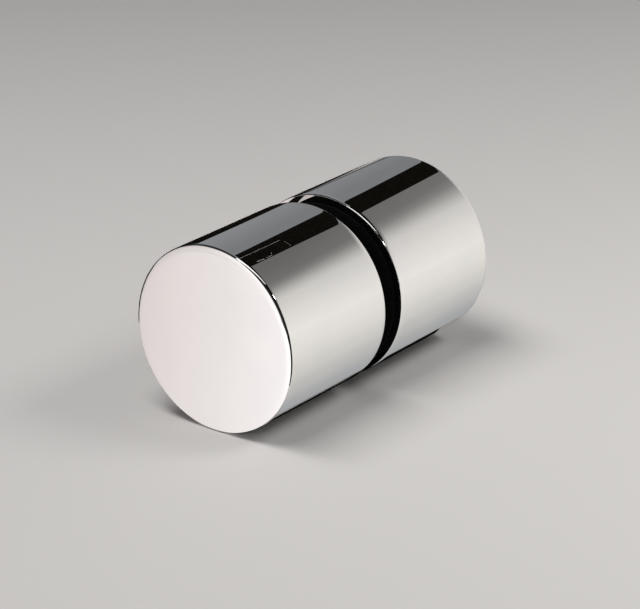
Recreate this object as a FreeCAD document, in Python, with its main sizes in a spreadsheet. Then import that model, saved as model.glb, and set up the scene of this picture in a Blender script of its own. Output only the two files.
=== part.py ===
import FreeCAD, Part
import os
import Sketcher

# Back-to-back pair of cylinder knobs for a glass shower door, clamped through one hole in the pane.
# The knobs' common axis is Y, the pane stands in the XZ plane and the origin is the centre of its hole.

doc = FreeCAD.newDocument("shower_door_handle")
V = FreeCAD.Vector

# Driving dimensions, in millimetres and degrees
SIZES = [
    ("knob_diameter", 38.0),
    ("knob_length", 30.5),
    ("face_edge_break", 0.4),
    ("base_edge_break", 0.3),
    ("rim_width", 1.5),
    ("glass_thickness", 5.0),
    ("glass_hole_diameter", 12.0),
    ("gasket_thickness", 1.0),
    ("gasket_stand", 0.2),
    ("gasket_clearance", 0.15),
    ("gasket_sleeve_clearance", 0.2),
    ("sleeve_hole_clearance", 0.2),
    ("sleeve_stud_clearance", 0.2),
    ("sleeve_end_clearance", 0.1),
    ("stud_diameter", 6.0),
    ("stud_engagement", 12.0),
    ("stud_end_chamfer", 0.8),
    ("thread_clearance", 0.05),
    ("bore_spare_depth", 2.0),
    ("bore_mouth_width", 0.6),
    ("bore_mouth_angle", 90.0),
    ("drill_point_angle", 118.0),
    ("socket_width", 3.0),
    ("socket_depth", 3.5),
]

sheet = doc.addObject("Spreadsheet::Sheet", "dims")
for row, (alias, value) in enumerate(SIZES, start=1):
    sheet.set("A%d" % row, alias)
    sheet.set("B%d" % row, str(value))
    sheet.setAlias("B%d" % row, alias)

# Fits that follow from the driving dimensions
FITS = [
    ("recess_depth", "=gasket_thickness - gasket_stand"),
    ("recess_diameter", "=knob_diameter - 2 * rim_width"),
    ("gasket_outer", "=recess_diameter - 2 * gasket_clearance"),
    ("sleeve_outer", "=glass_hole_diameter - 2 * sleeve_hole_clearance"),
    ("sleeve_bore", "=stud_diameter + 2 * sleeve_stud_clearance"),
    ("sleeve_length", "=glass_thickness + 2 * gasket_thickness - 2 * sleeve_end_clearance"),
    ("gasket_hole", "=sleeve_outer + 2 * gasket_sleeve_clearance"),
    ("stud_length", "=glass_thickness + 2 * gasket_thickness + 2 * stud_engagement"),
    ("bore_diameter", "=stud_diameter + 2 * thread_clearance"),
    ("bore_depth", "=stud_engagement + bore_spare_depth"),
    ("bore_mouth_diameter", "=bore_diameter + 2 * bore_mouth_width"),
    ("base_offset", "=glass_thickness / 2 + gasket_stand"),
    ("pane_face", "=glass_thickness / 2"),
]
for row, (alias, formula) in enumerate(FITS, start=len(SIZES) + 2):
    sheet.set("A%d" % row, alias)
    sheet.set("B%d" % row, formula)
    sheet.setAlias("B%d" % row, alias)
doc.recompute()

TOLERANCE = 1e-4


def new_body(node):
    """Empty body whose label names the sub-part."""
    body = doc.addObject("PartDesign::Body", node)
    body.Label = node
    return body


def new_sketch(body, name, role):
    """Sketch on the origin plane of its own body that has the given role."""
    plane = next(p for p in body.Origin.OriginFeatures if p.Role == role)
    sketch = body.newObject("Sketcher::SketchObject", name)
    sketch.AttachmentSupport = [(plane, "")]
    sketch.MapMode = "FlatFace"
    return sketch


def drive(sketch, name, kind, where, formula):
    """Adds a named dimension between the given points and binds it to the sheet."""
    index = sketch.addConstraint(Sketcher.Constraint(kind, *where))
    sketch.renameConstraint(index, name)
    sketch.setExpression("Constraints." + name, formula)


def add_circle(sketch, name, formula):
    """Circle about the sketch's origin with its diameter from the sheet."""
    start = sheet.get("glass_hole_diameter")
    circle = sketch.addGeometry(Part.Circle(V(0, 0, 0), V(0, 0, 1), start / 2), False)
    sketch.addConstraint(Sketcher.Constraint("Coincident", circle, 3, -1, 1))
    drive(sketch, name, "Diameter", (circle, start), formula)


def ring_edges(feature, radius, y):
    """Names of the feature's circular edges of that radius at that height on the Y axis."""
    names = []
    for number, edge in enumerate(feature.Shape.Edges, start=1):
        curve = edge.Curve
        if not isinstance(curve, Part.Circle):
            continue
        if abs(curve.Radius - radius) < TOLERANCE and abs(curve.Center.y - y) < TOLERANCE:
            names.append("Edge%d" % number)
    return names


def break_edges(body, name, base, radius, heights, formula):
    """Chamfer on the body's circular edges of that radius at those heights on the Y axis."""
    chamfer = body.newObject("PartDesign::Chamfer", name)
    chamfer.Base = (base, [edge for y in heights for edge in ring_edges(base, radius, y)])
    chamfer.setExpression("Size", formula)
    doc.recompute()
    return chamfer


# Knob: a turned bar with its base rim at y = 0 and its flat end face at y = -knob_length
def make_knob(node):
    body = new_body(node)
    length = sheet.get("knob_length")
    radius = sheet.get("knob_diameter") / 2
    rim = sheet.get("rim_width")
    depth = sheet.get("recess_depth")

    # Half section: end face, barrel, base rim, wall and floor of the gasket recess, axis
    section = new_sketch(body, node + "_section", "YZ_Plane")
    corners = [
        V(-length, 0, 0),
        V(-length, radius, 0),
        V(0, radius, 0),
        V(0, radius - rim, 0),
        V(-depth, radius - rim, 0),
        V(-depth, 0, 0),
    ]
    count = len(corners)
    for i in range(count):
        section.addGeometry(Part.LineSegment(corners[i], corners[(i + 1) % count]), False)
    for i in range(count):
        section.addConstraint(Sketcher.Constraint("Coincident", i, 2, (i + 1) % count, 1))
    end_face, barrel, base_rim, recess_wall, recess_floor, axis = range(count)
    for line in (end_face, base_rim, recess_floor):
        section.addConstraint(Sketcher.Constraint("Vertical", line))
    for line in (barrel, recess_wall):
        section.addConstraint(Sketcher.Constraint("Horizontal", line))
    section.addConstraint(Sketcher.Constraint("PointOnObject", axis, 1, -1))
    section.addConstraint(Sketcher.Constraint("PointOnObject", axis, 2, -1))
    section.addConstraint(Sketcher.Constraint("PointOnObject", base_rim, 1, -2))
    drive(section, "length", "DistanceX", (barrel, 1, barrel, 2, length), "dims.knob_length")
    drive(section, "radius", "DistanceY", (end_face, 1, end_face, 2, radius), "dims.knob_diameter / 2")
    drive(section, "rim", "DistanceY", (base_rim, 2, base_rim, 1, rim), "dims.rim_width")
    drive(section, "recess", "DistanceX", (recess_wall, 2, recess_wall, 1, depth), "dims.recess_depth")
    doc.recompute()

    blank = body.newObject("PartDesign::Revolution", node + "_blank")
    blank.Profile = section
    blank.ReferenceAxis = (section, ["H_Axis"])
    blank.Angle = 360
    doc.recompute()

    # Blind tapped bore from the recess floor, with a drill point and a countersunk mouth
    centre = new_sketch(body, node + "_bore_centre", "XZ_Plane")
    centre.setExpression(".AttachmentOffset.Base.z", "dims.recess_depth")
    add_circle(centre, "bore", "dims.bore_diameter")
    doc.recompute()
    solid_volume = blank.Shape.Volume
    bore = body.newObject("PartDesign::Hole", node + "_bore")
    bore.Profile = centre
    doc.recompute()
    bore.ThreadType = "None"
    bore.DepthType = "Dimension"
    bore.DrillPoint = "Angled"
    bore.DrillForDepth = False
    bore.HoleCutType = "Countersink"
    bore.Reversed = True
    bore.setExpression("Diameter", "dims.bore_diameter")
    bore.setExpression("Depth", "dims.bore_depth")
    bore.setExpression("DrillPointAngle", "dims.drill_point_angle")
    bore.setExpression("HoleCutDiameter", "dims.bore_mouth_diameter")
    bore.setExpression("HoleCutCountersinkAngle", "dims.bore_mouth_angle")
    doc.recompute()
    if not bore.Shape.Volume < solid_volume:
        raise RuntimeError(node + ": the bore cuts nothing")

    # Edges broken before polishing: one round the end face, a finer one round the base rim
    face_edge = break_edges(body, node + "_face_edge", bore, radius, [-length], "dims.face_edge_break")
    break_edges(body, node + "_base_edge", face_edge, radius, [0], "dims.base_edge_break")
    return body


front_knob = make_knob("front_knob")
front_knob.setExpression(".Placement.Base.y", "-dims.base_offset")

HALF_TURN = FreeCAD.Rotation(V(0, 0, 1), 180)
rear_knob = make_knob("rear_knob")
rear_knob.Placement = FreeCAD.Placement(V(0, 0, 0), HALF_TURN)
rear_knob.setExpression(".Placement.Base.y", "dims.base_offset")


# Gasket: a flat ring with its glass face at y = 0, which stands a little proud of the recess
def make_gasket(node):
    body = new_body(node)
    ring = new_sketch(body, node + "_ring", "XZ_Plane")
    add_circle(ring, "outer", "dims.gasket_outer")
    add_circle(ring, "hole", "dims.gasket_hole")
    doc.recompute()
    pad = body.newObject("PartDesign::Pad", node + "_pad")
    pad.Profile = ring
    pad.setExpression("Length", "dims.gasket_thickness")
    doc.recompute()
    return body


front_gasket = make_gasket("front_gasket")
front_gasket.setExpression(".Placement.Base.y", "-dims.pane_face")

rear_gasket = make_gasket("rear_gasket")
rear_gasket.Placement = FreeCAD.Placement(V(0, 0, 0), HALF_TURN)
rear_gasket.setExpression(".Placement.Base.y", "dims.pane_face")

# Sleeve: a tube that lines the hole in the glass and keeps the stud off its edge
glass_sleeve = new_body("glass_sleeve")
tube = new_sketch(glass_sleeve, "glass_sleeve_ring", "XZ_Plane")
add_circle(tube, "outer", "dims.sleeve_outer")
add_circle(tube, "bore", "dims.sleeve_bore")
doc.recompute()
sleeve_pad = glass_sleeve.newObject("PartDesign::Pad", "glass_sleeve_pad")
sleeve_pad.Profile = tube
sleeve_pad.SideType = "Symmetric"
sleeve_pad.setExpression("Length", "dims.sleeve_length")
doc.recompute()

# Stud: a headless screw, one half in each knob, with a hexagon socket in its front end
threaded_stud = new_body("threaded_stud")
shank = new_sketch(threaded_stud, "threaded_stud_shank", "XZ_Plane")
add_circle(shank, "shank", "dims.stud_diameter")
doc.recompute()
shank_pad = threaded_stud.newObject("PartDesign::Pad", "threaded_stud_pad")
shank_pad.Profile = shank
shank_pad.SideType = "Symmetric"
shank_pad.setExpression("Length", "dims.stud_length")
doc.recompute()

stud_end = sheet.get("stud_length") / 2
stud_radius = sheet.get("stud_diameter") / 2
both_ends = [-stud_end, stud_end]
stud_ends = break_edges(
    threaded_stud, "threaded_stud_ends", shank_pad, stud_radius, both_ends, "dims.stud_end_chamfer")

# Six equal sides round a circle, with two flats level
HEX_SIDES = 6
socket = new_sketch(threaded_stud, "threaded_stud_hexagon", "XZ_Plane")
socket.setExpression(".AttachmentOffset.Base.z", "dims.stud_length / 2")
across_corners = sheet.get("socket_width") / 3 ** 0.5
turn = FreeCAD.Rotation(V(0, 0, 1), 360 / HEX_SIDES)
hexagon = [V(across_corners, 0, 0)]
for i in range(HEX_SIDES - 1):
    hexagon.append(turn.multVec(hexagon[-1]))
for i in range(HEX_SIDES):
    socket.addGeometry(Part.LineSegment(hexagon[i], hexagon[(i + 1) % HEX_SIDES]), False)
guide = socket.addGeometry(Part.Circle(V(0, 0, 0), V(0, 0, 1), across_corners), True)
socket.addConstraint(Sketcher.Constraint("Coincident", guide, 3, -1, 1))
for i in range(HEX_SIDES):
    socket.addConstraint(Sketcher.Constraint("Coincident", i, 2, (i + 1) % HEX_SIDES, 1))
    socket.addConstraint(Sketcher.Constraint("PointOnObject", i, 1, guide))
for i in range(1, HEX_SIDES):
    socket.addConstraint(Sketcher.Constraint("Equal", 0, i))
socket.addConstraint(Sketcher.Constraint("PointOnObject", 0, 1, -1))
drive(socket, "corners", "Radius", (guide, across_corners), "dims.socket_width / sqrt(3)")
doc.recompute()
plain_volume = stud_ends.Shape.Volume
socket_pocket = threaded_stud.newObject("PartDesign::Pocket", "threaded_stud_socket")
socket_pocket.Profile = socket
socket_pocket.setExpression("Length", "dims.socket_depth")
doc.recompute()
if not socket_pocket.Shape.Volume < plain_volume:
    raise RuntimeError("threaded_stud: the socket cuts nothing")

# Checks on the finished document, then one file for each sub-part
doc.recompute()
for item in doc.Objects:
    if "Invalid" in item.State or "Error" in item.State:
        raise RuntimeError(item.Name + " failed: " + ", ".join(item.State))

bodies = [front_knob, rear_knob, front_gasket, rear_gasket, glass_sleeve, threaded_stud]
for body in bodies:
    if body.Shape.isNull() or not body.Shape.isValid() or len(body.Shape.Solids) != 1:
        raise RuntimeError(body.Label + " is not one valid solid")

os.makedirs("parts", exist_ok=True)
for body in bodies:
    body.Shape.exportStep(os.path.join("parts", body.Label + ".step"))
    box = body.Shape.BoundBox
    print("%-14s y %.3f to %.3f, across %.3f, volume %.2f" % (
        body.Label, box.YMin, box.YMax, box.XLength, body.Shape.Volume))
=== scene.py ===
import math

import bpy
import numpy as np
from mathutils import Matrix, Vector


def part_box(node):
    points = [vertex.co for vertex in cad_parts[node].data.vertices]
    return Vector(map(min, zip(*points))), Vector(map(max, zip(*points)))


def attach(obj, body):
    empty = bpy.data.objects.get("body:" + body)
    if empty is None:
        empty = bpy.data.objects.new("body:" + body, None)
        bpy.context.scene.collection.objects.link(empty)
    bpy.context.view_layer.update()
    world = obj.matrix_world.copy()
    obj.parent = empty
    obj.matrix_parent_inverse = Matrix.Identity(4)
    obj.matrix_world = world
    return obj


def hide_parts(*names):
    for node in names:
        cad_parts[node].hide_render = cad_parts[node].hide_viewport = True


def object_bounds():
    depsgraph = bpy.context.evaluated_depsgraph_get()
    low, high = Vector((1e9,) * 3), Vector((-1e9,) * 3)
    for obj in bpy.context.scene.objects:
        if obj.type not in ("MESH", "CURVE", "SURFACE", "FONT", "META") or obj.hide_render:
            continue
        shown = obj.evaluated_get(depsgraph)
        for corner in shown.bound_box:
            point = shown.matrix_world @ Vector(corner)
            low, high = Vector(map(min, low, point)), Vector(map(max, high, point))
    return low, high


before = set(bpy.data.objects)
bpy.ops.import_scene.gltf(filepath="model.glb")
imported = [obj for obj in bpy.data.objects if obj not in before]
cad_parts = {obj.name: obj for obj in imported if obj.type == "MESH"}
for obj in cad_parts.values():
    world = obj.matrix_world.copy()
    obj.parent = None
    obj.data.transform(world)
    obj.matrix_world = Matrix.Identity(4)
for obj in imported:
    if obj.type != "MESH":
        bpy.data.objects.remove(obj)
cad_low, cad_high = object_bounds()

# The stud: a headless M6 screw of zinc-plated steel that draws both knobs together. The thread is
# rolled along its whole length, both ends are chamfered, and a hexagon socket in the front end
# takes the key that drives it.
MM = 0.001
PITCH = 1.0 * MM
THREAD_DEPTH = 0.61 * MM
ROOT_FLAT = 0.25
CREST_FLAT = 0.125
STUD_COLUMNS = 72
ROWS_PER_TURN = 10
END_CHAMFER = 0.8 * MM
SOCKET_WIDTH = 3.0 * MM
SOCKET_DEPTH = 3.5 * MM
SOCKET_POINT = 0.6 * MM
CORNER_ANGLE = math.radians(25)
ZINC_BLOTCHES = {"Scale": 900.0, "Detail": 4.0}
ZINC_TONES = [(0.0, (0.42, 0.41, 0.37)), (1.0, (0.62, 0.61, 0.58))]
ZINC_DULLNESS = {"To_Min": 0.25, "To_Max": 0.42}
ALL_METAL = 1.0


def thread_height(y, angle):
    """Right-hand thread from 0 at the root to 1 at the crest: a triangle wave of y over the pitch
    plus the angle as a share of a turn, cut off flat at the root and at the crest."""
    phase = (y / PITCH + angle / (2 * np.pi)) % 1.0
    wave = 1 - np.abs(2 * phase - 1)
    return np.clip((wave - ROOT_FLAT) / (1 - ROOT_FLAT - CREST_FLAT), 0, 1)


def turned(name, y, r, closed=False):
    """A profile carried round the Y axis: grid point (i, j) lies at height y[i], at the radius r[i, j]
    and at the angle of column j. An open profile starts and ends on the axis, where each end row
    becomes one pole point with a fan of triangles. A closed profile joins its last row to its first."""
    rows, columns = r.shape
    angle = np.linspace(0, 2 * np.pi, columns, endpoint=False)
    height = np.broadcast_to(y[:, None], r.shape)
    grid = np.stack([r * np.cos(angle), height, r * np.sin(angle)], axis=-1)
    index = np.arange(rows * columns).reshape(rows, columns)
    if closed:
        points = grid.reshape(-1, 3)
        below, above = index, np.roll(index, -1, axis=0)
        fans = []
    else:
        poles = np.array([[0, y[0], 0], [0, y[-1], 0]])
        points = np.concatenate([grid[1:-1].reshape(-1, 3), poles])
        index = index[:-2]
        below, above = index[:-1], index[1:]
        first, last = index[0], index[-1]
        start, end = np.full(columns, len(points) - 2), np.full(columns, len(points) - 1)
        fans = np.concatenate([
            np.stack([start, first, np.roll(first, -1)], axis=-1),
            np.stack([last, end, np.roll(last, -1)], axis=-1),
        ]).tolist()
    next_above, next_below = np.roll(above, -1, axis=1), np.roll(below, -1, axis=1)
    quads = np.stack([below, above, next_above, next_below], axis=-1)
    mesh = bpy.data.meshes.new(name)
    mesh.from_pydata(points.tolist(), [], quads.reshape(-1, 4).tolist() + fans)
    mesh.polygons.foreach_set("use_smooth", np.ones(len(mesh.polygons), dtype=bool))
    mesh.set_sharp_from_angle(angle=CORNER_ANGLE)
    mesh.validate()
    piece = bpy.data.objects.new(name, mesh)
    bpy.context.scene.collection.objects.link(piece)
    return piece


def set_inputs(node, *in_order, **by_name):
    """Gives a shader node's inputs, in order or by name, a value or another node's output."""
    named = [(node.inputs[key.replace("_", " ")], value) for key, value in by_name.items()]
    for socket, value in [*zip(node.inputs, in_order), *named]:
        if isinstance(value, bpy.types.NodeSocket):
            node.id_data.links.new(value, socket)
        else:
            socket.default_value = value


def add_node(tree, kind, *in_order, operation=None, **by_name):
    """A new shader node of a kind, with its operation, where it has one, and its inputs."""
    node = tree.nodes.new("ShaderNode" + kind)
    if operation:
        node.operation = operation
    set_inputs(node, *in_order, **by_name)
    return node


def colour_ramp(tree, share, stops):
    """Colour against a share from 0 to 1: the stops are pairs of a share and a colour, and between two
    of them the colours are mixed by how far the share has come from the one to the other."""
    node = add_node(tree, "ValToRGB", Fac=share)
    elements = node.color_ramp.elements
    for position, _ in stops[len(elements):]:
        elements.new(position)
    for element, (position, colour) in zip(elements, stops):
        element.position = position
        element.color = (*colour, 1)
    return node.outputs["Color"]


def new_material(name):
    """A node material, its tree and its principled shader."""
    material = bpy.data.materials.new(name)
    material.use_nodes = True
    return material, material.node_tree, material.node_tree.nodes["Principled BSDF"]


_, stud_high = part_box("threaded_stud")
stud_radius, stud_end = stud_high.x, stud_high.y
stud_angle = np.linspace(0, 2 * np.pi, STUD_COLUMNS, endpoint=False)
stud_y = np.linspace(-stud_end, stud_end, round(2 * stud_end / PITCH * ROWS_PER_TURN) + 1)
crest = stud_radius - THREAD_DEPTH * (1 - thread_height(stud_y[:, None], stud_angle))
end_cone = stud_radius - END_CHAMFER + (stud_end - np.abs(stud_y))[:, None]
shank = np.minimum(crest, end_cone)
# the socket's flats: half the width over the cosine of the angle from the nearest flat's middle
hexagon = SOCKET_WIDTH / 2 / np.cos(stud_angle % (np.pi / 3) - np.pi / 6)
centre = np.zeros(STUD_COLUMNS)
socket_y = [SOCKET_DEPTH + SOCKET_POINT - stud_end, SOCKET_DEPTH - stud_end, -stud_end]
stud_profile_y = np.concatenate([socket_y, stud_y, [stud_end]])
stud_profile_r = np.vstack([centre, hexagon, hexagon, shank, centre])
stud = turned("stud_with_thread", stud_profile_y, stud_profile_r)

zinc, tree, shader = new_material("zinc_plated_steel")
place = add_node(tree, "TexCoord").outputs["Object"]
blotches = add_node(tree, "TexNoise", Vector=place, **ZINC_BLOTCHES).outputs["Fac"]
dullness = add_node(tree, "MapRange", Value=blotches, **ZINC_DULLNESS).outputs["Result"]
set_inputs(shader, Base_Color=colour_ramp(tree, blotches, ZINC_TONES), Roughness=dullness,
           Metallic=ALL_METAL)
stud.data.materials.append(zinc)
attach(stud, "root")
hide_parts("threaded_stud")

# The sleeve: a short tube of black nylon round the middle of the stud, which passes through both
# gaskets. It is cut from extruded tube, so fine lines run along it and its ends are square with a
# small break.
SLEEVE_COLUMNS = 96
SLEEVE_BREAK = 0.2 * MM
SLEEVE_BORE_GAP = 0.2 * MM
CORNER_STEPS = 6
DRAW_LINE_STRETCH = (1.0, 0.06, 1.0)
DRAW_LINES = {"Scale": 3500.0, "Detail": 3.0}
DRAW_LINE_RELIEF = {"Strength": 0.15, "Distance": 0.05 * MM}
NYLON_TONES = [(0.0, (0.010, 0.010, 0.011)), (1.0, (0.030, 0.030, 0.031))]
NYLON_ROUGHNESS = 0.42


def ring_section(low_y, high_y, inner, outer, corner):
    """Section of a ring as a closed loop: a rectangle between two heights and two radii, whose corners
    are quarter circles. It runs over the high end, down the inside, over the low end and back."""
    turn = np.arange(4)[:, None] * np.pi / 2 + np.linspace(0, np.pi / 2, CORNER_STEPS)
    middle_r = np.array([outer - corner, inner + corner, inner + corner, outer - corner])
    middle_y = np.array([high_y - corner, high_y - corner, low_y + corner, low_y + corner])
    radius = middle_r[:, None] + corner * np.cos(turn)
    height = middle_y[:, None] + corner * np.sin(turn)
    return height.ravel(), radius.ravel()


def ring(name, node, inner, corner, columns):
    """A ring over the CAD node's own box: the box gives the height and the outer radius of the section
    that is carried round, and the bore and the round of its corners are given."""
    low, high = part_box(node)
    height, radius = ring_section(low.y, high.y, inner, high.x, corner)
    piece = turned(name, height, np.repeat(radius[:, None], columns, axis=1), closed=True)
    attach(piece, "root")
    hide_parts(node)
    return piece


sleeve = ring("nylon_sleeve", "glass_sleeve", stud_radius + SLEEVE_BORE_GAP, SLEEVE_BREAK,
              SLEEVE_COLUMNS)
nylon, tree, shader = new_material("black_nylon")
place = add_node(tree, "TexCoord").outputs["Object"]
stretched = add_node(tree, "Mapping", Vector=place, Scale=DRAW_LINE_STRETCH).outputs["Vector"]
draw_lines = add_node(tree, "TexNoise", Vector=stretched, **DRAW_LINES).outputs["Fac"]
relief = add_node(tree, "Bump", Height=draw_lines, **DRAW_LINE_RELIEF).outputs["Normal"]
set_inputs(shader, Base_Color=colour_ramp(tree, draw_lines, NYLON_TONES), Roughness=NYLON_ROUGHNESS,
           Normal=relief)
sleeve.data.materials.append(nylon)

# The gaskets: flat rings of black rubber sheet, one in the recess of each knob's base, where it
# stands a little proud of the metal. They are die-cut, so only their edges are softened.
GASKET_COLUMNS = 160
GASKET_SOFT_EDGE = 0.12 * MM
GASKET_SLEEVE_GAP = 0.2 * MM
RUBBER_GRAIN = {"Scale": 6000.0, "Detail": 5.0, "Roughness": 0.7}
RUBBER_RELIEF = {"Strength": 0.3, "Distance": 0.03 * MM}
RUBBER_BLOOM = {"Scale": 260.0, "Detail": 3.0}
RUBBER_TONES = [(0.0, (0.002, 0.002, 0.002)), (1.0, (0.007, 0.007, 0.007))]
RUBBER_DULLNESS = {"To_Min": 0.55, "To_Max": 0.75}
RUBBER_SHINE = 0.12

rubber, tree, shader = new_material("black_rubber")
place = add_node(tree, "TexCoord").outputs["Object"]
grain = add_node(tree, "TexNoise", Vector=place, **RUBBER_GRAIN).outputs["Fac"]
relief = add_node(tree, "Bump", Height=grain, **RUBBER_RELIEF).outputs["Normal"]
bloom = add_node(tree, "TexNoise", Vector=place, **RUBBER_BLOOM).outputs["Fac"]
dullness = add_node(tree, "MapRange", Value=bloom, **RUBBER_DULLNESS).outputs["Result"]
set_inputs(shader, Base_Color=colour_ramp(tree, bloom, RUBBER_TONES), Roughness=dullness,
           Specular_IOR_Level=RUBBER_SHINE, Normal=relief)

sleeve_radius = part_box("glass_sleeve")[1].x
for side in ("front", "rear"):
    gasket = ring(side + "_rubber_ring", side + "_gasket", sleeve_radius + GASKET_SLEEVE_GAP,
                  GASKET_SOFT_EDGE, GASKET_COLUMNS)
    gasket.data.materials.append(rubber)

# The knobs: two alike, turned from solid brass bar, polished and chrome plated. Buffing has rolled
# the edges over a little. Each base has a recess for the gasket and a blind tapped hole for the stud.
KNOB_COLUMNS = 192
EDGE_STEPS = 40
# rolled edges: how far in from the barrel, how far down from the flat, and the power of the curve
FACE_EDGE = (2.2 * MM, 1.5 * MM, 4.5)
BASE_EDGE = (0.18 * MM, 1.5 * MM, 2.0)
GASKET_SIDE_GAP = 0.15 * MM
THREAD_GAP = 0.05 * MM
MOUTH_WIDTH = 0.6 * MM
BORE_SPARE = 2.0 * MM
DRILL_HALF_ANGLE = math.radians(59)
CHROME_HANDLING = {"Scale": 110.0, "Detail": 4.0, "Roughness": 0.6}
CHROME_TONES = [(0.3, (0.90, 0.90, 0.895)), (0.75, (0.86, 0.865, 0.87))]
CHROME_SHEEN = {"From_Min": 0.35, "From_Max": 0.75, "To_Min": 0.012, "To_Max": 0.045}
# wear on the front barrel: two hairline scratches and a few specks, each from one place to another, as
# degrees round the barrel and millimetres along it, with half its width in millimetres
WEAR = [
    ((70.9, -31.95), (70.8, -20.0), 0.045),
    ((68.9, -19.4), (64.1, -19.3), 0.03),
    ((65.3, -24.85), (64.8, -25.0), 0.05),
    ((63.8, -29.8), (63.5, -27.7), 0.065),
    ((63.5, -26.9), (63.4, -25.3), 0.045),
]
WEAR_ROUGHNESS = 0.4


def rolled_edge(across, along, roundness):
    """Quarter of a superellipse from the flat to the barrel, as distances in from the barrel and down
    from the flat. Each is a half axis times 1 less a share. The share is the sine or the cosine of the
    normal's angle to the power 1 / (roundness - 1), scaled so that the two shares, each to the power of
    the roundness, add up to 1. The angles run from 0 to a quarter turn and lie closest together at both
    ends, where the edge leaves the flat and the barrel without a line."""
    turn = np.pi / 4 * (1 - np.cos(np.linspace(0, np.pi, EDGE_STEPS)))
    power = 1 / (roundness - 1)
    scale = (np.cos(turn) ** (power + 1) + np.sin(turn) ** (power + 1)) ** (-power / (power + 1))
    return across * (1 - scale * np.sin(turn) ** power), along * (1 - scale * np.cos(turn) ** power)


def knob(name, node, gasket_node, side):
    """Turned profile from the middle of the end face, over the barrel and the base, down the tapped hole
    to the drill's point. Heights are distances from the middle of the pair, and side, -1 or 1, says
    which way along Y they go."""
    low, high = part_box(node)
    gasket_low, gasket_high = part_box(gasket_node)
    radius = high.x
    face = max(-low.y, high.y)
    base = min(abs(low.y), abs(high.y))
    seat = max(-gasket_low.y, gasket_high.y)
    wall = gasket_high.x + GASKET_SIDE_GAP
    bore = stud_radius + THREAD_GAP
    bottom = stud_end + BORE_SPARE
    face_in, face_down = rolled_edge(*FACE_EDGE)
    base_in, base_down = rolled_edge(*BASE_EDGE)
    bore_rows = round((bottom - seat) / PITCH * ROWS_PER_TURN)
    bore_y = np.linspace(seat + MOUTH_WIDTH, bottom, bore_rows)
    height = np.concatenate([
        [face], face - face_down, (base + base_down)[::-1], [base, seat, seat], bore_y,
        [bottom + bore / math.tan(DRILL_HALF_ANGLE)]])
    plain = np.concatenate([
        [0], radius - face_in, (radius - base_in)[::-1], [wall, wall, bore + MOUTH_WIDTH],
        np.full(bore_rows, bore), [0]])
    angle = np.linspace(0, 2 * np.pi, KNOB_COLUMNS, endpoint=False)
    profile = np.repeat(plain[:, None], KNOB_COLUMNS, axis=1)
    tapped = slice(len(plain) - 1 - bore_rows, len(plain) - 1)
    profile[tapped] -= THREAD_DEPTH * (1 - thread_height(side * bore_y[:, None], angle))
    order = slice(None, None, -side)
    piece = turned(name, side * height[order], profile[order])
    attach(piece, "root")
    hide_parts(node)
    return piece


def barrel_point(angle, y):
    """Point of the front barrel: its radius turned from +X towards +Z by an angle in degrees, at y in
    millimetres."""
    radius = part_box("front_knob")[1].x
    turn = math.radians(angle)
    return Vector((radius * math.cos(turn), y * MM, radius * math.sin(turn)))


def wear_mark(tree, place, start, end, half_width):
    """Mask of one mark, from the distance to the straight line between its two ends: 1 within the half
    width, 0 from twice that on, and a straight fade between."""
    first = barrel_point(*start)
    span = barrel_point(*end) - first
    offset = add_node(tree, "VectorMath", place, first, operation="SUBTRACT").outputs["Vector"]
    along = add_node(tree, "VectorMath", offset, span / span.length_squared, operation="DOT_PRODUCT")
    share = add_node(tree, "Clamp", Value=along.outputs["Value"]).outputs["Result"]
    nearest = add_node(tree, "VectorMath", share, span, operation="MULTIPLY").outputs["Vector"]
    gap = add_node(tree, "VectorMath", offset, nearest, operation="DISTANCE").outputs["Value"]
    reach = half_width * MM
    return add_node(tree, "MapRange", Value=gap, From_Min=2 * reach, From_Max=reach).outputs["Result"]


chrome, tree, shader = new_material("polished_chrome")
place = add_node(tree, "TexCoord").outputs["Object"]
handling = add_node(tree, "TexNoise", Vector=place, **CHROME_HANDLING).outputs["Fac"]
sheen = add_node(tree, "MapRange", Value=handling, **CHROME_SHEEN).outputs["Result"]
for mark in WEAR:
    worn = wear_mark(tree, place, *mark)
    marked = add_node(tree, "MapRange", Value=worn, To_Min=sheen, To_Max=WEAR_ROUGHNESS)
    sheen = marked.outputs["Result"]
set_inputs(shader, Base_Color=colour_ramp(tree, handling, CHROME_TONES), Roughness=sheen,
           Metallic=ALL_METAL)

for side, name in ((-1, "front"), (1, "rear")):
    piece = knob(name + "_chrome_knob", name + "_knob", name + "_gasket", side)
    piece.data.materials.append(chrome)

# The floor: a plain pale board, wider than the picture, under the knobs, which lie on it on their
# sides. It is painted matt, so it mirrors nothing.
FLOOR_COLOUR = (0.64, 0.635, 0.63, 1)
FLOOR_ROUGHNESS = 0.7
FLOOR_HALF = 3.0
NO_SHINE = 0.0


def sheet(name, outline):
    """A flat sheet of the studio from its outline, no part of the object."""
    mesh = bpy.data.meshes.new(name)
    mesh.from_pydata(outline, [], [tuple(range(len(outline)))])
    piece = bpy.data.objects.new(name, mesh)
    bpy.context.scene.collection.objects.link(piece)
    return piece


floor_z = cad_low.z
floor = sheet("floor", [(-FLOOR_HALF, -FLOOR_HALF, floor_z), (FLOOR_HALF, -FLOOR_HALF, floor_z),
                        (FLOOR_HALF, FLOOR_HALF, floor_z), (-FLOOR_HALF, FLOOR_HALF, floor_z)])
board, _, shader = new_material("pale_board")
set_inputs(shader, Base_Color=FLOOR_COLOUR, Roughness=FLOOR_ROUGHNESS, Specular_IOR_Level=NO_SHINE)
floor.data.materials.append(board)

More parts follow.
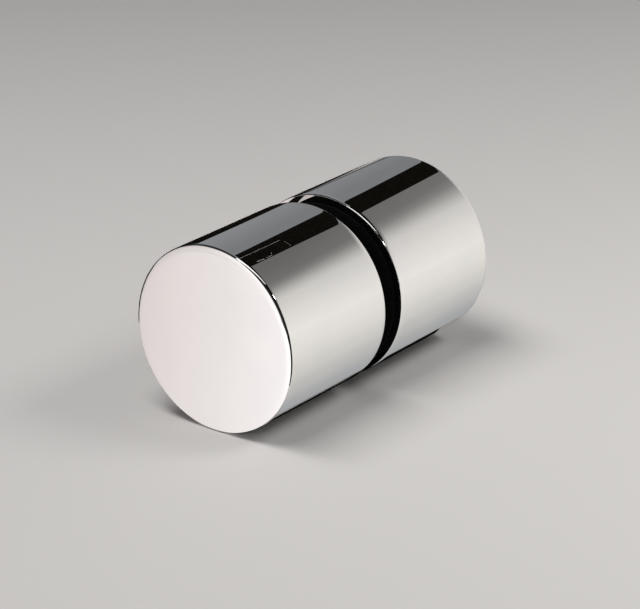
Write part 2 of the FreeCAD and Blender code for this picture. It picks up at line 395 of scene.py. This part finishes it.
# The studio: a soft lamp above and one behind, which the metal doesn't mirror, and a small one that it
# mirrors as a spark on the edge. It also mirrors dim surroundings, a panel in front and one behind, and
# loose white and black sheets, as bright round metal is lit for a picture; two of these sheets on the
# floor hold painted shade where the knobs shadow it. The camera sees none of it.
LAMP_COLOUR = (1.0, 0.975, 0.955)
LAMP_PLACE = Vector((-0.10, -0.16, 0.54))
LAMP_LONG = Vector((-0.89, 0.15, 0.43))
LAMP_SIZE = (0.46, 0.20)
LAMP_POWER = 2.4
BACK_LAMP_PLACE = Vector((0.24, 0.12, 0.28))
BACK_LAMP_SIZE = (0.15, 0.15)
BACK_LAMP_POWER = 0.55
SPARK_PLACE = Vector((0.1215, 0.063, 0.1215))
SPARK_SIZE = (0.014, 0.014)
SPARK_POWER = 0.007
STRAIGHT_UP = Vector((0, 0, 1))


def lamp_at(name, place, away, size, power, mirrored=False):
    """A soft rectangular lamp at a place, which shines against the direction away. The direction of its
    first side is LAMP_LONG less its share along away. Metal mirrors it only where that is asked for."""
    data = bpy.data.lights.new(name, "AREA")
    data.shape = "RECTANGLE"
    data.size, data.size_y = size
    data.energy = power
    data.color = LAMP_COLOUR
    lamp = bpy.data.objects.new(name, data)
    bpy.context.scene.collection.objects.link(lamp)
    across = (LAMP_LONG - away * LAMP_LONG.dot(away)).normalized()
    axes = Matrix((across, away.cross(across), away)).transposed()
    lamp.matrix_world = Matrix.Translation(place) @ axes.to_4x4()
    lamp.visible_camera = False
    lamp.visible_glossy = mirrored


lamp_at("soft_lamp", LAMP_PLACE, LAMP_PLACE.normalized(), LAMP_SIZE, LAMP_POWER)
lamp_at("back_lamp", BACK_LAMP_PLACE, STRAIGHT_UP, BACK_LAMP_SIZE, BACK_LAMP_POWER)
lamp_at("spark_lamp", SPARK_PLACE, SPARK_PLACE.normalized(), SPARK_SIZE, SPARK_POWER, mirrored=True)

# the surroundings: an even dim light, and what the metal mirrors of them, white in front and dim behind
# with the dark between, each side as colours against the share of a direction along its axis
EVEN_LIGHT = (0.085, 0.085, 0.088, 1)
FRONT_SIDE_AXIS = (-0.45, -0.866, 0.2207)
FRONT_SIDE = [(0.62, (0, 0, 0)), (0.714, (0.46, 0.45, 0.44)), (0.78, (1.05, 1.02, 1.01)),
              (0.815, (1.05, 1.02, 1.01)), (0.845, (0.92, 0.88, 0.87)), (0.89, (0.79, 0.745, 0.735))]
BACK_SIDE_AXIS = (0.35, 0.94, 0.0)
BACK_SIDE = [(0.35, (0.025, 0.025, 0.025)), (0.435, (0.262, 0.268, 0.280)),
             (0.535, (0.205, 0.210, 0.216))]


def fade_along(tree, place, axis, stops):
    """Colour against the distance along an axis, which is the dot product of the place and the axis. The
    stops are pairs of a distance and a colour, and the first and last colours go on beyond them."""
    distance = add_node(tree, "VectorMath", place, axis, operation="DOT_PRODUCT").outputs["Value"]
    start, end = stops[0][0], stops[-1][0]
    share = add_node(tree, "MapRange", Value=distance, From_Min=start, From_Max=end).outputs["Result"]
    return colour_ramp(tree, share, [((at - start) / (end - start), colour) for at, colour in stops])


world = bpy.data.worlds.new("studio")
bpy.context.scene.world = world
world.use_nodes = True
tree = world.node_tree
even_light = tree.nodes["Background"]
set_inputs(even_light, Color=EVEN_LIGHT)
direction = add_node(tree, "TexCoord").outputs["Generated"]
front_side, back_side = (
    add_node(tree, "Background", Color=fade_along(tree, direction, axis, stops)).outputs["Background"]
    for axis, stops in ((FRONT_SIDE_AXIS, FRONT_SIDE), (BACK_SIDE_AXIS, BACK_SIDE)))
mirrored_sides = add_node(tree, "AddShader", front_side, back_side).outputs["Shader"]
in_metal = add_node(tree, "LightPath").outputs["Is Glossy Ray"]
choice = add_node(tree, "MixShader", in_metal, even_light.outputs["Background"], mirrored_sides)
set_inputs(tree.nodes["World Output"], Surface=choice.outputs["Shader"])

# what the panels and sheets are covered with
BLACK = (0, 0, 0, 1)
FULL_GLOW = 1.0
FLAG_AND_SHADOW_COLOUR = (0.010, 0.009, 0.007, 1)


def glow(name, axis, stops):
    """A material that only glows, in the colours of the stops against the distance along an axis."""
    material, tree, shader = new_material(name)
    place = add_node(tree, "TexCoord").outputs["Object"]
    set_inputs(shader, Base_Color=BLACK, Specular_IOR_Level=NO_SHINE,
               Emission_Color=fade_along(tree, place, axis, stops), Emission_Strength=FULL_GLOW)
    return material


# black for the flags, and for the painted contact shadow on the floor along the knobs
flag_and_shadow_black, _, shader = new_material("black_flags_and_painted_shadow")
set_inputs(shader, Base_Color=FLAG_AND_SHADOW_COLOUR, Specular_IOR_Level=NO_SHINE)


def studio_sheet(name, outline, material, lights_floor=False):
    """A sheet of the studio in a material. Only reflections see it, and the floor where it lights that."""
    piece = sheet(name, outline)
    piece.data.materials.append(material)
    piece.visible_camera = False
    piece.visible_shadow = False
    piece.visible_diffuse = lights_floor


# soft panel behind, which fades upwards and to the left, with a black sheet across its left end and
# another along its top
BACK_Y = 0.40
BACK_COLOUR = np.array([0.90, 0.87, 0.835])
BACK_AXIS = (-0.33, 0, 0.944)
BACK_FADE = [(-0.128, 1.0), (0.036, 0.88), (0.157, 0.74), (0.194, 0.60),
             (0.230, 0.42), (0.262, 0.27), (0.292, 0.20), (0.375, 0.165)]
BACK_OUTLINE = [(-0.06, floor_z), (1.3, floor_z), (1.3, 0.5), (-0.06, 0.5)]
HIGH_OUTLINE = [(-0.107, 0.0), (-0.107, 0.220), (-0.056, 0.308), (-0.020, 0.370), (-0.006, 0.470),
                (-0.186, 0.470), (-0.184, 0.290), (-0.196, 0.220), (-0.196, 0.0)]
TOP_OUTLINE = [(-0.12, 0.43), (0.45, 0.43), (0.45, 0.75), (-0.12, 0.75)]
SHEET_GAP = 0.001
back_stops = [(distance, level * BACK_COLOUR) for distance, level in BACK_FADE]
studio_sheet("back_panel", [(x, BACK_Y, z) for x, z in BACK_OUTLINE],
             glow("back_glow", BACK_AXIS, back_stops), lights_floor=True)
studio_sheet("high_black_sheet", [(x, BACK_Y - SHEET_GAP, z) for x, z in HIGH_OUTLINE], flag_and_shadow_black)
studio_sheet("top_black_sheet", [(x, BACK_Y - 2 * SHEET_GAP, z) for x, z in TOP_OUTLINE], flag_and_shadow_black)

# low soft panel in front of the end face, to its left
ALONG_X = (1, 0, 0)
FRONT_LEFT_END = (-0.186, -0.031)
FRONT_RIGHT_END = (0.034, -0.196)
FRONT_TOP = 0.16
FRONT_FADE = [(-0.12, (0.66, 0.61, 0.60)), (-0.072, (0.80, 0.745, 0.73)),
              (-0.057, (0.93, 0.875, 0.86)), (-0.0435, (1.03, 0.98, 0.965)), (0.034, (1.25, 1.22, 1.20))]
FRONT_OUTLINE = [(*FRONT_LEFT_END, floor_z), (*FRONT_RIGHT_END, floor_z),
                 (*FRONT_RIGHT_END, FRONT_TOP), (*FRONT_LEFT_END, FRONT_TOP)]
studio_sheet("front_panel", FRONT_OUTLINE, glow("front_glow", ALONG_X, FRONT_FADE))

# white wedge overhead, which the edge of the end face mirrors as a thin sliver
WEDGE_OUTLINE = [(-0.045, -0.23), (0.313, 0.339), (-0.086, 0.196)]
WEDGE_Z = 0.45
WEDGE_FADE = [(-0.07, (1.2, 1.18, 1.16)), (0.33, (1.2, 1.18, 1.16))]
studio_sheet("wedge_white_sheet", [(x, y, WEDGE_Z) for x, y in WEDGE_OUTLINE],
             glow("wedge_glow", ALONG_X, WEDGE_FADE))

# white sheet on the floor that the end face mirrors, brighter to the right
LIFT = 0.0002
FACE_AXIS = (1.0, -0.752, 0)
FACE_FADE = [(-0.025, (0.72, 0.65, 0.64)), (0.004, (0.815, 0.735, 0.728)),
             (0.0125, (0.875, 0.80, 0.787)), (0.025, (0.92, 0.865, 0.845)),
             (0.0415, (1.04, 0.99, 0.985)), (0.075, (1.25, 1.22, 1.20))]
FACE_OUTLINE = [(-0.045, -0.0322), (0.0215, -0.0322), (0.0306, -0.0378), (0.0392, -0.0476),
                (0.0517, -0.0624), (0.081, -0.0937), (0.1118, -0.125), (0.153, -0.167),
                (0.45, -0.46), (0.3, -0.8), (-0.160, -0.165)]


def on_floor(outline):
    """An outline of x and y laid flat, lifted just clear of the floor."""
    return [(x, y, floor_z + LIFT) for x, y in outline]


studio_sheet("face_white_sheet", on_floor(FACE_OUTLINE), glow("face_glow", FACE_AXIS, FACE_FADE))

# white sheet on the floor to the right, which the barrels mirror, brighter away from them; its darker
# part near the knobs is painted shade where they shadow the floor
SIDE_FADE_WITH_PAINTED_SHADE = [(0.0115, (0.385, 0.390, 0.400)), (0.0141, (0.405, 0.410, 0.418)),
             (0.0169, (0.450, 0.450, 0.450)), (0.0203, (0.528, 0.520, 0.508)),
             (0.0247, (0.582, 0.570, 0.548)), (0.030, (0.672, 0.650, 0.615)),
             (0.046, (0.776, 0.750, 0.709)), (0.069, (0.836, 0.808, 0.764)),
             (0.092, (0.855, 0.826, 0.781)), (0.141, (0.871, 0.842, 0.796)),
             (0.33, (0.890, 0.860, 0.813))]
SIDE_OUTLINE = [(0.0115, -0.026), (0.0300, -0.0265), (0.0416, -0.0232), (0.0612, -0.0193),
                (0.117, -0.0077), (0.154, 0.001), (1.3, 0.20), (1.3, 0.398), (0.0115, 0.398)]
studio_sheet("side_sheet_with_painted_shade", on_floor(SIDE_OUTLINE), glow("side_painted_shade_glow", ALONG_X, SIDE_FADE_WITH_PAINTED_SHADE))

# black sheets: on the floor in front to the right, upright on both sides, and on the floor along the line
# where the knobs touch it, which is a painted contact shadow that the barrels mirror at their lowest part
FRONT_BLACK_OUTLINE = [(0.0312, -0.0372), (0.0400, -0.0470), (0.0525, -0.0618), (0.0818, -0.0930),
                       (0.1126, -0.1243), (0.154, -0.166), (0.154, 0.0), (0.117, -0.0087),
                       (0.0612, -0.0203), (0.0416, -0.0242), (0.0312, -0.0275)]
RIGHT_X = 0.128
RIGHT_OUTLINE = [(-0.20, floor_z), (-0.005, floor_z), (-0.005, 0.012), (0.02, 0.066), (0.075, 0.13),
                 (0.14, 0.186), (0.14, 0.23), (-0.05, 0.23), (-0.05, 0.012), (-0.20, 0.012)]
LEFT_X = -0.06
LEFT_OUTLINE = [(-0.050, floor_z), (0.105, floor_z), (0.097, -0.0066), (0.084, 0.0064),
                (0.075, 0.0105), (0.0665, 0.0125), (0.061, 0.018), (0.057, 0.0209), (0.049, 0.0228),
                (0.040, 0.024), (0.028, 0.0243), (-0.020, 0.0243), (-0.050, 0.005)]
CONTACT_OUTLINE = [(0, -0.0315), (0.0103, -0.0315), (0.0103, -0.003), (0.011, 0.003),
                   (0.011, 0.0315), (0, 0.0315)]
studio_sheet("front_black_sheet", on_floor(FRONT_BLACK_OUTLINE), flag_and_shadow_black)
studio_sheet("right_black_sheet", [(RIGHT_X, y, z) for y, z in RIGHT_OUTLINE], flag_and_shadow_black)
studio_sheet("left_black_sheet", [(LEFT_X, y, z) for y, z in LEFT_OUTLINE], flag_and_shadow_black)
# painted shadow: a black sheet that only the metal sees, standing in for the shade along the contact line
studio_sheet("contact_painted_shadow_sheet", on_floor(CONTACT_OUTLINE), flag_and_shadow_black)

# The camera: a long lens in front of the end face, to the right and above, where the photograph was
# taken from. CAMERA_BACK is the direction from the object back to the lens.
CAMERA_PLACE = (0.3013, -0.39935, 0.1990)
CAMERA_BACK = Vector((0.5574, -0.7408, 0.3749))
LENS_MM = 151.1
SENSOR_MM = 36.0
NEAREST = 0.01
FARTHEST = 20.0

camera_data = bpy.data.cameras.new("camera")
camera_data.lens = LENS_MM
camera_data.sensor_width = SENSOR_MM
camera_data.clip_start = NEAREST
camera_data.clip_end = FARTHEST
camera = bpy.data.objects.new("camera", camera_data)
bpy.context.scene.collection.objects.link(camera)
camera.location = CAMERA_PLACE
camera.rotation_euler = (-CAMERA_BACK).to_track_quat("-Z", "Y").to_euler()
bpy.context.scene.camera = camera
bpy.context.scene.view_settings.view_transform = "Standard"
